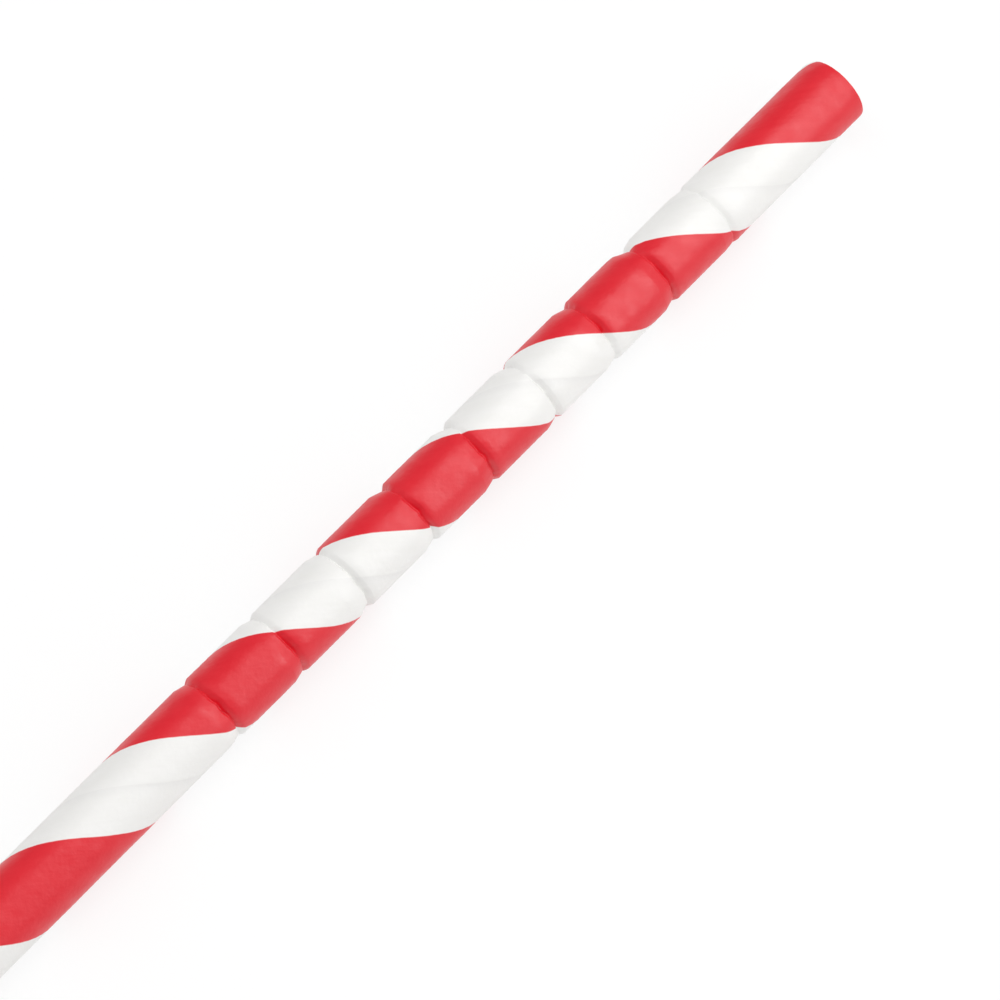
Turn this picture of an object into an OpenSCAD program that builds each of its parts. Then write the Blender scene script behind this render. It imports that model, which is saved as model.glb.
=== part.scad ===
/* [Tube] */
// Length of the straw from end to end
straw_length = 210; // [150:1:260]
// Outside diameter of the wound paper tube
outer_d = 6; // [5:0.5:8]
// Thickness of the glued paper wall
wall = 0.4; // [0.3:0.05:0.5]

/* [Flex section] */
// Number of crimped rings that let the straw bend
crimp_count = 9; // [3:1:12]
// Spacing of the crimps along the straw
crimp_pitch = 7; // [4:0.1:8]
// Distance from the mouth end to the root of the nearest crimp
mouth_reach = 15.4; // [8:0.1:25]
// Width of a crimp from shoulder to shoulder
crimp_width = 1.4; // [1.2:0.1:3]
// Share of that width that slopes down from the plain end's side; the rest rises to the mouth's side
crimp_lean = 0.6; // [0.4:0.05:0.6]
// Depth of a crimp below the outside of the tube
crimp_depth = 0.3; // [0.2:0.05:0.5]

/* [Hidden] */
$fn = 48;
// Red of the printed stripe that winds round the tube
print_red = "#DE2C34";
// Straight steps in each bend of the crimped wall
bend_steps = 4;
outer_r = outer_d / 2;
// Radius of the middle of the wall, which is as thick in the bends of a crimp as elsewhere
mid_r = outer_r - wall / 2;
// The paper goes down one slope of a crimp and up the other one
slope_down = crimp_width * crimp_lean;
slope_up = crimp_width - slope_down;

// Place of a crimp's root along the straw, counted from the plain end's side
function crimp_place(i) = straw_length - mouth_reach - (crimp_count - 1 - i) * crimp_pitch;

// Points along an arc, leaving out its first one where another arc already ends there
function bend(centre, r, from, to, joined) = [
    for (i = [joined ? 1 : 0 : bend_steps])
        let (a = from + (to - from) * i / bend_steps)
            centre + r * [cos(a), sin(a)]
];

// One slope from the straight wall to the root of a crimp: two bends of one radius turn the paper there and
// back, and together they span the slope and drop by the whole depth. The way is 1 where the mouth end lies
// beyond the root and -1 where the plain end does; side is 1 on the wall's outside and -1 on its inside.
function slope_line(place, span, way, side) =
    let (
        turn = 2 * atan(crimp_depth / span),
        bend_r = span / (2 * sin(turn)),
        shoulder_r = bend_r + side * wall / 2,
        root_r = bend_r - side * wall / 2
    )
    concat(
        bend([mid_r - bend_r, place - way * span], shoulder_r, 0, way * turn, false),
        bend([mid_r - crimp_depth + bend_r, place], root_r, 180 + way * turn, 180, true)
    );

// One crimp's line on one side of the wall: the slope down, then the slope up without the shared root
function crimp_line(place, side) =
    let (up = reversed(slope_line(place, slope_up, -1, side)))
    concat(
        slope_line(place, slope_down, 1, side),
        [for (i = [1 : len(up) - 1]) up[i]]
    );

// The wall's line from the plain end to the mouth end on one side
function wall_line(side) =
    let (r = mid_r + side * wall / 2)
    concat(
        [[r, 0]],
        [for (i = [0 : crimp_count - 1]) each crimp_line(crimp_place(i), side)],
        [[r, straw_length]]
    );

function reversed(points) = [for (i = [len(points) - 1 : -1 : 0]) points[i]];

// Wound, glued and printed paper tube with square-cut ends, lying on its side with its mouth end towards +X
module paper_straw() {
    color(print_red)
        translate([-straw_length / 2, 0, outer_r])
            rotate([0, 90, 0])
                rotate_extrude()
                    polygon(concat(wall_line(1), reversed(wall_line(-1))));
}

paper_straw();
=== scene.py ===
import math
import bmesh
import bpy
from mathutils import Matrix, Vector, noise


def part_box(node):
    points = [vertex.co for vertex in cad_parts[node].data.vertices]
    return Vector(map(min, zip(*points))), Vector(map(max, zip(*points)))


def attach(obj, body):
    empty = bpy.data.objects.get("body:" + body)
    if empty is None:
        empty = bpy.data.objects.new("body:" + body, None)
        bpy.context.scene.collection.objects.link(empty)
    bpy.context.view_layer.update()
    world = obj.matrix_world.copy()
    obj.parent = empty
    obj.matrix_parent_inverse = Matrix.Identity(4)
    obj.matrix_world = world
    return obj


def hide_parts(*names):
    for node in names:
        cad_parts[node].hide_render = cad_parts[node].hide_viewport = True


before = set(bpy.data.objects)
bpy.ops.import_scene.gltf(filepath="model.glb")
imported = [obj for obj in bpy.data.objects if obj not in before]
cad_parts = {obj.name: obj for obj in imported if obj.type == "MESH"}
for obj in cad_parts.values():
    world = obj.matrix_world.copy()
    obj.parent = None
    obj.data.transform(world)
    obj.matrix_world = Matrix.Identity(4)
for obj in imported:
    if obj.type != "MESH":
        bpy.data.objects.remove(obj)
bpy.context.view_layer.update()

# The wall of the straw: paper strips wound in a helix on a rod, glued ply on ply and cut square at each end.
# The outermost strip carries the print. Its two edges meet in a seam that runs round with the stripe.
# Here its section is drawn straight, as it leaves the winding, and spun about the straw's axis.
mm = 0.001
low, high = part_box("paper_straw")
plain_end = low.x
mouth_end = high.x
outer_r = (high.z - low.z) / 2
axis = Vector((0, 0, low.z + outer_r))
wall = 0.4 * mm
strip_width = 14.43 * mm
girth = 2 * math.pi * outer_r
wind_angle = math.asin(strip_width / girth)
lead = girth * math.tan(wind_angle)
# Where the seam meets the mouth end, in turns from the top towards the front
seam_turn = 0.37
# Rings are pressed into the wound tube near the mouth end
crimp_count = 9
crimp_pitch = 7 * mm
mouth_reach = 15.4 * mm
crimps = [mouth_end - mouth_reach - crimp_pitch * i for i in reversed(range(crimp_count))]
# A crimp slopes down gently from the plain end's side and comes up steeply on the mouth's side
long_slope = 1.1 * mm
short_slope = 0.55 * mm
# Stretch at each end that the knife nips in
rim_reach = 0.8 * mm
# Spacing of the mesh's rings along the straw and across its cut ends, and number of its lines round it
straight_gap = 0.6 * mm
crimp_gap = 0.07 * mm
inside_gap = 0.8 * mm
bead_gap = 0.2 * mm
rim_gap = wall / 12
around = 96


def wall_line(radius, straight, crimped):
    """Corners of the wall's straight section on one side, each with the ring spacing that follows it."""
    line = [(plain_end, radius, crimped), (plain_end + rim_reach, radius, straight)]
    for place in crimps:
        line.append((place - long_slope, radius, crimped))
        line.append((place, radius, crimped))
        line.append((place + short_slope, radius, straight))
    return line + [(mouth_end - rim_reach, radius, crimped), (mouth_end, radius, rim_gap)]


outside = wall_line(outer_r, straight_gap, crimp_gap)
inside = wall_line(outer_r - wall, inside_gap, bead_gap)
# The inside runs back to the plain end, so each of its spacings belongs to the corner before it
inside_back = [
    (here[0], here[1], back[2]) for here, back in zip(inside[::-1], inside[-2::-1] + inside[-1:])
]
tube = bmesh.new()
corners = outside + inside_back
section = [tube.verts.new((x, 0, axis.z + radius)) for x, radius, _ in corners]
sides = [tube.edges.new(pair) for pair in zip(section, section[1:] + section[:1])]
for side, (_, _, gap) in zip(sides, corners):
    bmesh.ops.subdivide_edges(tube, edges=[side], cuts=round(side.calc_length() / gap) - 1)
bmesh.ops.spin(
    tube,
    geom=tube.verts[:] + tube.edges[:],
    cent=axis,
    axis=(1, 0, 0),
    angle=2 * math.pi,
    steps=around,
    use_merge=True,
)
bmesh.ops.recalc_face_normals(tube, faces=tube.faces[:])
printed_side = 0
bare_side = 1
# Slack in telling what lies on the outside or in a cut
slack = rim_gap / 4
for face in tube.faces:
    face.smooth = True
    centre = face.calc_center_median() - axis
    on_outside = math.hypot(centre.y, centre.z) > outer_r - slack
    face.material_index = printed_side if on_outside else bare_side

# The winding, the seam and the crimps, given to the spun tube: its lines are turned to follow the strip, the
# strip's leading edge lies on the turn before as a thin ledge, and each crimp folds the paper inwards.
# The tool leaves the rings a little astray, wavy and unevenly deep: the last is faint, and one is dented.
ledge_height = 0.007 * mm
ledge_width = 0.03 * mm
ledge_fade = 1.5 * mm
# Edges of the inner plies show through the outer one as low ridges along the strip
ridge_places = [4.9 * mm, 9.7 * mm]
ridge_height = 0.012 * mm
ridge_spread = 0.5 * mm
crimp_depth = 0.36 * mm
root_r = 0.01 * mm
long_bend = 1.15
short_bend = 1.4
# Share of the depth on the gentle slope of the plain end's side, before the lip that drops to the root:
# the lip stands high where the straw faces up, and lies lower on its sides
lobe_share = 0.48
side_lobe_share = 0.85
facing_turn = 0.045
lip_width = 0.07 * mm
# On the inside of the wall a crimp is a round bead
bead_reach = 0.95 * mm
# How far each ring is off its even place, and how much further on its far side than on its near side,
# in millimetres
astray = [-0.36, -0.23, -0.04, 0.31, 0.22, 0.28, 0.1, -0.1, -0.11]
askew = [-0.3, -0.1, -0.12, -0.2, 0.1, -0.18, -0.05, -0.18, -0.16]
astray_reach = 2.5 * mm
far_turn = -0.21
# Waves in the line of a ring, with their number to a turn
wavy = 0.1 * mm
wavy_reach = 0.8 * mm
broad_waves = 9
fine_waves = 24
fine_wave_share = 0.8
# A ring's depth wavers; it is deeper on the far side and in a stretch at the front, and eased in one on top
uneven_depth = 0.55
depth_waves = 6
far_share_deeper = 0.2
front_share_deeper = 0.3
front_turn = 0.1
top_share_eased = 0.5
top_turn = -0.065
stretch_power = 8
# The tool's edge pinches the paper to a sharp line at the root, here and there
pinch = 0.1 * mm
pinch_reach = 0.16 * mm
pinch_mean = 0.25
pinch_waves = 5
top_pinch_eased = 0.5
# The faint ring and the dented one, counted from 0 at the plain end's side
faint = 8
faint_share = 0.5
dented = 7
dent_depth = 0.22 * mm
dent_reach = 1.3 * mm
# The paper puckers a little beside each ring
pucker = 0.03 * mm
pucker_reach = 1.6 * mm
pucker_waves = 11
# The knife that cuts the straw to length nips its rim in, most of all on the far side.
# The cut goes between the plies here and there, and frays them a little.
nip = 0.03 * mm
far_nip = 0.18 * mm
plies = 3
ply_gap_depth = 0.03 * mm
ply_gap_width = 0.07
fray = 0.02 * mm
fray_waves = 30
fray_rows = 7
# Each kind of unevenness has rows of chance of its own, one for each ring
row_spacing = 3.7
fine_wave_rows = 10
depth_rows = 20
pucker_rows = 30
pinch_rows = 40


def waver(turn, waves, row):
    """Smooth unevenness round the tube, from about -1 to 1, with so many waves to a turn."""
    reach = waves / math.pi
    angle = 2 * math.pi * turn
    return noise.noise((reach * math.cos(angle), reach * math.sin(angle), row_spacing * row))


def swell(offset, reach):
    """1 in the middle, falling smoothly to 0 at the reach."""
    return max(0, 1 - (offset / reach) ** 2) ** 2


def towards(turn, side_turn):
    """How far the tube faces a side of it: 1 on that side, 0 a quarter turn off and -1 across from it."""
    return math.cos(2 * math.pi * (turn - side_turn))


def fold(offset, lip_top):
    """Share of a crimp's depth on the outside: a lobe, the lip at its foot and a steep slope up again."""
    run = math.hypot(offset, root_r) - root_r
    if offset > 0:
        return max(0, 1 - run / short_slope) ** short_bend
    lobe = max(0, 1 - run / long_slope) ** long_bend
    lip = max(0, 1 - run / lip_width)
    return lip_top * lobe + (1 - lip_top) * lip


def strip_lift(across):
    """Height of the outside above the plain round, by the place across the strip."""
    lift = ledge_height * math.exp(-across / ledge_fade)
    for place in ridge_places:
        lift += ridge_height * math.exp(-(((across - place) / ridge_spread) ** 2))
    return lift


for vert in tube.verts:
    spot = vert.co - axis
    radius = math.hypot(spot.y, spot.z)
    inward = (outer_r - radius) / wall
    line_turn = math.atan2(-spot.y, spot.z) / (2 * math.pi)
    # The first line beside the seam moves up to it, so that the ledge is a steep step
    if round(line_turn * around) == 1:
        line_turn = ledge_width / strip_width
    x = spot.x
    number = min(max(round((x - crimps[0]) / crimp_pitch), 0), crimp_count - 1)
    offset = x - crimps[number]
    turn = line_turn + (x - mouth_end) / lead - seam_turn
    far_share = towards(turn, far_turn)
    top_share = max(0, towards(turn, top_turn)) ** stretch_power
    front_share = max(0, towards(turn, front_turn)) ** stretch_power
    # The ring's way along the straw
    ring_shift = (astray[number] + askew[number] / 2 * far_share) * mm
    fine_wave = waver(turn, fine_waves, number + fine_wave_rows) * fine_wave_share
    wave = wavy * (waver(turn, broad_waves, number) + fine_wave)
    shift = ring_shift * swell(offset, astray_reach) + wave * swell(offset, wavy_reach)
    # Its way into the tube
    evenness = 1 + far_share_deeper * max(0, far_share) + front_share_deeper * front_share
    evenness -= top_share_eased * top_share
    depth = crimp_depth * (evenness + uneven_depth * waver(turn, depth_waves, number + depth_rows))
    if number == faint:
        depth *= faint_share
    facing = max(0, towards(turn, facing_turn))
    lip_top = lobe_share * facing + side_lobe_share * (1 - facing)
    press = depth * ((1 - inward) * fold(offset, lip_top) + inward * swell(offset, bead_reach))
    pinch_waver = waver(turn, pinch_waves, number + pinch_rows)
    pinched = max(0, pinch_mean + pinch_waver - top_pinch_eased * top_share)
    press += (1 - inward) * pinch * pinched * swell(offset, pinch_reach)
    if number == dented:
        press += dent_depth * max(0, far_share) ** 2 * swell(offset, dent_reach)
    # The rims and the outside's own relief
    end_gap = min(x - plain_end, mouth_end - x)
    press += (nip + far_nip * max(0, far_share) ** 2) * max(0, 1 - end_gap / rim_reach) ** 2
    lift = strip_lift(-line_turn % 1 * strip_width)
    lift += pucker * waver(turn, pucker_waves, number + pucker_rows) * swell(offset, pucker_reach)
    radius += (1 - inward) * lift - press
    if end_gap < slack:
        into_wall = 1 if x < 0 else -1
        ply = inward * plies % 1
        gap = math.exp(-((min(ply, 1 - ply) / plies / ply_gap_width) ** 2))
        x += into_wall * (ply_gap_depth * gap + fray * waver(turn, fray_waves, fray_rows * inward))
    x += shift
    angle = 2 * math.pi * (turn + shift / lead)
    vert.co = axis + Vector((x, -radius * math.sin(angle), radius * math.cos(angle)))

# Edges that bend more than this, such as those of the cuts, stay crisp
crisp_angle = math.radians(45)
for edge in tube.edges:
    edge.smooth = edge.calc_face_angle(0) < crisp_angle

# Place of each face's corners on the flat strip, in millimetres along the strip and across it from its edge
strip_map = tube.loops.layers.uv.new("strip")
# A second map lays the whole wall out flat on one sheet, for textures: the printed side in rows, each a
# stretch of the straw, over them the inside, which is drawn smaller, and over that the two rims
sheet_map = tube.loops.layers.uv.new("OFBake")
sheet_size = 72 * mm
sheet_gap = 0.5 * mm
row_count = 3
row_length = (mouth_end - plain_end) / row_count
row_pitch = girth + sheet_gap
inside_scale = (sheet_size - 2 * sheet_gap) / (mouth_end - plain_end)
rims_low = row_count * row_pitch + girth * inside_scale + 2 * sheet_gap
plain_rim_middle = outer_r
mouth_rim_middle = 4 * outer_r
# The frayed faces of a cut lie within this of the straw's end
cut_reach = 2 * rim_gap


def wound_place(point):
    """Turns of the winding past the seam, and length along the strip, of a point on the tube."""
    turn = math.atan2(-point.y, point.z - axis.z) / (2 * math.pi)
    past_mouth = point.x - mouth_end
    turns = past_mouth / lead - turn - seam_turn
    along = past_mouth * math.sin(wind_angle) + turn * girth * math.cos(wind_angle)
    return turns, along


for face in tube.faces:
    middle = face.calc_center_median()
    turns_there = wound_place(middle)[0]
    row = int((middle.x - plain_end) / row_length)
    in_cut = min(middle.x - plain_end, mouth_end - middle.x) < cut_reach
    for corner in face.loops:
        spot = corner.vert.co
        turns, along = wound_place(spot)
        step = turns - turns_there
        # A corner across the line where the turn jumps by one comes back to its face's side
        jump = round(step)
        along += jump * girth * math.cos(wind_angle)
        across = (turns_there % 1 + step - jump) * strip_width
        corner[strip_map].uv = (along / mm, across / mm)
        unrolled = Vector((spot.x - plain_end, across / strip_width * girth))
        if face.material_index == printed_side:
            on_sheet = unrolled + Vector((-row * row_length, row * row_pitch))
        elif in_cut:
            rim_middle = plain_rim_middle if spot.x < 0 else mouth_rim_middle
            on_sheet = Vector((spot.y + rim_middle, rims_low + spot.z - low.z))
        else:
            on_sheet = unrolled * inside_scale + Vector((0, row_count * row_pitch))
        corner[sheet_map].uv = (on_sheet + Vector((sheet_gap, sheet_gap))) / sheet_size

straw_mesh = bpy.data.meshes.new("paper_straw_wall")
tube.to_mesh(straw_mesh)
tube.free()
straw = bpy.data.objects.new("paper_straw_wall", straw_mesh)
bpy.context.scene.collection.objects.link(straw)


def linear(hex_colour):
    """Linear RGBA of an sRGB hex colour."""
    shares = [int(hex_colour[i : i + 2], 16) / 255 for i in (1, 3, 5)]
    return [s / 12.92 if s <= 0.04045 else ((s + 0.055) / 1.055) ** 2.4 for s in shares] + [1]


def add_node(tree, kind, inputs=None, **settings):
    """Adds a node with its settings. Each input takes a value, or a link from another node's output."""
    made = tree.nodes.new(kind)
    for name, value in settings.items():
        setattr(made, name, value)
    for name, value in (inputs or {}).items():
        if isinstance(value, bpy.types.NodeSocket):
            tree.links.new(value, made.inputs[name])
        else:
            made.inputs[name].default_value = value
    return made


# Printed paper: smooth white straw paper with a flat band of red ink, which leaves white on either side.
# To the eye it is satin: clean edges on the band, deep ink that is a little cloudy, a broad blotchy sheen.
# The sizes of its patterns are in millimetres on the strip, as its map is.
ink_red = "#DE0520"
ink_thin = "#E21A2A"
paper_white = "#F2F1EF"
paper_cloud = "#EFEEEB"
band_start = 3.34
band_width = 7.47
band_soft = 0.05
# The band's edge wavers a little, as the strip runs through the press
band_waver = 0.1
waver_size = 2.5
# Ink and paper are cloudy, in patches drawn out along the strip
cloud_length = 5
cloud_width = 1.2
cloud_low = 0.35
cloud_high = 0.7
# Painted shade: the paper is drawn a little darker where it runs up to the seam, standing in for the shade
# beside the strip's raised edge
seam_painted_shade = "#EDECEA"
painted_shade_reach = 0.9
# Blotches of the sheen, by how evenly the paper is smoothed, with the sharpest and the dullest roughness
blotch_size = 1.1
blotch_low = 0.3
blotch_high = 0.7
sharp_sheen = 0.34
dull_sheen = 0.46
# Relief of the paper: its tooth, streaks along the strip, and a cockle that follows the blotches
relief_height = 0.018 * mm
tooth_size = 0.4
streak_length = 3
streak_width = 0.22
streak_share = 0.35
cockle_share = 1.6
# Sockets of a Mix node that mixes colours
mix_share = 0
mix_from = 6
mix_to = 7
mix_result = 2
printed = bpy.data.materials.new("printed_straw_paper")
printed.use_nodes = True
tree = printed.node_tree
shader = tree.nodes["Principled BSDF"]
strip = add_node(tree, "ShaderNodeUVMap", uv_map="strip").outputs["UV"]
across = add_node(tree, "ShaderNodeSeparateXYZ", {0: strip}).outputs["Y"]
edge_waver = add_node(tree, "ShaderNodeTexNoise", {"Vector": strip, "Scale": 1 / waver_size, "Detail": 3})
wavered = add_node(
    tree, "ShaderNodeMath", {0: edge_waver.outputs[0], 1: band_waver, 2: across}, operation="MULTIPLY_ADD"
)
band_middle = band_start + band_width / 2 + band_waver / 2
off_middle = add_node(
    tree, "ShaderNodeMath", {0: wavered.outputs[0], 1: band_middle}, operation="SUBTRACT"
)
off_band = add_node(tree, "ShaderNodeMath", {0: off_middle.outputs[0]}, operation="ABSOLUTE")
ink_share = add_node(
    tree,
    "ShaderNodeMapRange",
    {
        "Value": off_band.outputs[0],
        "From Min": band_width / 2 + band_soft,
        "From Max": band_width / 2 - band_soft,
    },
    interpolation_type="SMOOTHSTEP",
)
cloud_place = add_node(
    tree, "ShaderNodeMapping", {"Vector": strip, "Scale": (1 / cloud_length, 1 / cloud_width, 1)}
)
cloud = add_node(
    tree,
    "ShaderNodeTexNoise",
    {"Vector": cloud_place.outputs[0], "Scale": 1, "Detail": 6, "Roughness": 0.75},
)
clouded = add_node(
    tree,
    "ShaderNodeMapRange",
    {"Value": cloud.outputs[0], "From Min": cloud_low, "From Max": cloud_high},
)
ink = add_node(
    tree,
    "ShaderNodeMix",
    {mix_share: clouded.outputs[0], mix_from: linear(ink_red), mix_to: linear(ink_thin)},
    data_type="RGBA",
)
paper_clean = add_node(
    tree,
    "ShaderNodeMix",
    {mix_share: clouded.outputs[0], mix_from: linear(paper_white), mix_to: linear(paper_cloud)},
    data_type="RGBA",
)
# Painted shade beside the seam: greyer paper over the last stretch of the strip's width
painted_shade_share = add_node(
    tree,
    "ShaderNodeMapRange",
    {"Value": across, "From Min": strip_width / mm - painted_shade_reach, "From Max": strip_width / mm},
    interpolation_type="SMOOTHSTEP",
)
# The clean paper with the painted seam shade mixed in
paper = add_node(
    tree,
    "ShaderNodeMix",
    {
        mix_share: painted_shade_share.outputs[0],
        mix_from: paper_clean.outputs[mix_result],
        mix_to: linear(seam_painted_shade),
    },
    data_type="RGBA",
)
colour = add_node(
    tree,
    "ShaderNodeMix",
    {
        mix_share: ink_share.outputs[0],
        mix_from: paper.outputs[mix_result],
        mix_to: ink.outputs[mix_result],
    },
    data_type="RGBA",
)
tree.links.new(colour.outputs[mix_result], shader.inputs["Base Color"])
blotch = add_node(
    tree,
    "ShaderNodeTexNoise",
    {"Vector": strip, "Scale": 1 / blotch_size, "Detail": 2, "Roughness": 0.4},
)
blotchy = add_node(
    tree,
    "ShaderNodeMapRange",
    {
        "Value": blotch.outputs[0],
        "From Min": blotch_low,
        "From Max": blotch_high,
        "To Min": sharp_sheen,
        "To Max": dull_sheen,
    },
)
tree.links.new(blotchy.outputs[0], shader.inputs["Roughness"])
shader.inputs["Specular IOR Level"].default_value = 0.66
tooth = add_node(
    tree,
    "ShaderNodeTexNoise",
    {"Vector": strip, "Scale": 1 / tooth_size, "Detail": 3, "Roughness": 0.55},
)
streak_place = add_node(
    tree, "ShaderNodeMapping", {"Vector": strip, "Scale": (1 / streak_length, 1 / streak_width, 1)}
)
streaks = add_node(
    tree, "ShaderNodeTexNoise", {"Vector": streak_place.outputs[0], "Scale": 1, "Detail": 2}
)
fine_relief = add_node(
    tree,
    "ShaderNodeMath",
    {0: streaks.outputs[0], 1: streak_share, 2: tooth.outputs[0]},
    operation="MULTIPLY_ADD",
)
relief = add_node(
    tree,
    "ShaderNodeMath",
    {0: blotch.outputs[0], 1: cockle_share, 2: fine_relief.outputs[0]},
    operation="MULTIPLY_ADD",
)
relief_bump = add_node(
    tree, "ShaderNodeBump", {"Height": relief.outputs[0], "Strength": 1, "Distance": relief_height}
)
tree.links.new(relief_bump.outputs[0], shader.inputs["Normal"])
straw_mesh.materials.append(printed)

# Bare paper: the inside and the cut ends, where the plies show their own uncoated pulp.
# It is dull and a little creamier than the printed side, with short fibres lying every way.
pulp_pale = "#F0ECE4"
pulp_dark = "#E2DDD2"
fibre_size = 0.25 * mm
fibre_height = 0.02 * mm
bare = bpy.data.materials.new("bare_straw_paper")
bare.use_nodes = True
tree = bare.node_tree
shader = tree.nodes["Principled BSDF"]
place = add_node(tree, "ShaderNodeTexCoord").outputs["Object"]
fibres = add_node(tree, "ShaderNodeTexNoise", {"Vector": place, "Scale": 1 / fibre_size, "Detail": 4})
pulp = add_node(
    tree,
    "ShaderNodeMix",
    {mix_share: fibres.outputs[0], mix_from: linear(pulp_pale), mix_to: linear(pulp_dark)},
    data_type="RGBA",
)
tree.links.new(pulp.outputs[mix_result], shader.inputs["Base Color"])
shader.inputs["Roughness"].default_value = 0.85
fibre_bump = add_node(
    tree, "ShaderNodeBump", {"Height": fibres.outputs[0], "Strength": 0.4, "Distance": fibre_height}
)
tree.links.new(fibre_bump.outputs[0], shader.inputs["Normal"])
straw_mesh.materials.append(bare)
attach(straw, "root")
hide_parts("paper_straw")

# The floor: a plain white studio sweep that the straw lies on.
# Most of its white is its own, so that it stays even up to the picture's edge; the rest takes the shadow.
floor_size = 6
floor_own_white = 0.8
plain_white = "#FFFFFF"
floor_mesh = bpy.data.meshes.new("studio_floor")
sweep = bmesh.new()
bmesh.ops.create_grid(sweep, x_segments=1, y_segments=1, size=floor_size / 2)
bmesh.ops.translate(sweep, verts=sweep.verts[:], vec=(0, 0, low.z))
sweep.to_mesh(floor_mesh)
sweep.free()
floor = bpy.data.objects.new("studio_floor", floor_mesh)
bpy.context.scene.collection.objects.link(floor)
sweep_white = bpy.data.materials.new("white_studio_sweep")
sweep_white.use_nodes = True
tree = sweep_white.node_tree
tree.nodes.remove(tree.nodes["Principled BSDF"])
# Its own white is there for rays straight from the camera, in a gloss or through a clear body
rays = add_node(tree, "ShaderNodeLightPath").outputs
seen_or_mirrored = add_node(
    tree, "ShaderNodeMath", {0: rays["Is Camera Ray"], 1: rays["Is Glossy Ray"]}, operation="MAXIMUM"
)
shown = add_node(
    tree,
    "ShaderNodeMath",
    {0: seen_or_mirrored.outputs[0], 1: rays["Is Transmission Ray"]},
    operation="MAXIMUM",
)
own_share = add_node(
    tree, "ShaderNodeMath", {0: shown.outputs[0], 1: floor_own_white}, operation="MULTIPLY"
)
chalk = add_node(tree, "ShaderNodeBsdfDiffuse", {"Color": linear(plain_white)})
glow = add_node(tree, "ShaderNodeEmission", {"Color": linear(plain_white), "Strength": 1})
floor_look = add_node(
    tree, "ShaderNodeMixShader", {0: own_share.outputs[0], 1: chalk.outputs[0], 2: glow.outputs[0]}
)
tree.links.new(floor_look.outputs[0], tree.nodes["Material Output"].inputs["Surface"])
floor_mesh.materials.append(sweep_white)

# The light: an even white room and two softboxes, each with its long side across the straw.
# One hangs beyond the mouth end, on the near side, and gives the sheen; the other fills the crimps from over
# the far side and doesn't show in the gloss.
room_level = 0.39
softboxes = {
    "sheen_softbox": {
        "side": (0.4, -0.55, 1), "away": 0.42, "across": 0.85, "depth": 0.15, "power": 1.4, "in_gloss": True
    },
    "fill_softbox": {
        "side": (-0.3, 0.35, 1), "away": 0.75, "across": 1.2, "depth": 0.29, "power": 2.3, "in_gloss": False
    },
}
mouth_middle = Vector((mouth_end, 0, axis.z))
world = bpy.data.worlds.new("white_room")
world.use_nodes = True
bpy.context.scene.world = world
room = world.node_tree.nodes["Background"]
room.inputs["Color"].default_value = linear(plain_white)
room.inputs["Strength"].default_value = room_level
for name, box in softboxes.items():
    softbox_data = bpy.data.lights.new(name, "AREA")
    softbox_data.shape = "RECTANGLE"
    softbox_data.size = box["across"]
    softbox_data.size_y = box["depth"]
    softbox_data.energy = box["power"]
    softbox = bpy.data.objects.new(name, softbox_data)
    softbox.visible_glossy = box["in_gloss"]
    outward = Vector(box["side"]).normalized()
    across_straw = outward.cross((1, 0, 0)).normalized()
    turned = Matrix((across_straw, outward.cross(across_straw), outward)).transposed()
    hangs_at = mouth_middle + outward * box["away"]
    softbox.matrix_world = Matrix.Translation(hangs_at) @ turned.to_4x4()
    bpy.context.scene.collection.objects.link(softbox)

# The camera: it looks down on the straw, which runs from beyond the lower left corner up to its mouth end.
# The mouth end's place in the picture, the lens and the two angles fix where it stands.
picture_px = 1000
focal_px = 4715
mouth_px = (834.8, 88.3)
mouth_depth = 0.376
elevation = math.radians(66.96)
straw_bearing = math.radians(47.51)
to_right = Vector((math.cos(straw_bearing), -math.sin(straw_bearing), 0))
level_ahead = Vector((math.sin(straw_bearing), math.cos(straw_bearing), 0))
ahead = level_ahead * math.cos(elevation) - Vector((0, 0, math.sin(elevation)))
upward = to_right.cross(ahead)
metres_per_px = mouth_depth / focal_px
mouth_right, mouth_down = [metres_per_px * (px - picture_px / 2) for px in mouth_px]
stand = mouth_middle - ahead * mouth_depth - to_right * mouth_right + upward * mouth_down
camera_data = bpy.data.cameras.new("camera")
camera_data.lens = camera_data.sensor_width * focal_px / picture_px
camera = bpy.data.objects.new("camera", camera_data)
camera.matrix_world = Matrix.Translation(stand) @ Matrix((to_right, upward, -ahead)).transposed().to_4x4()
bpy.context.scene.collection.objects.link(camera)
bpy.context.scene.camera = camera
bpy.context.scene.view_settings.view_transform = "Standard"
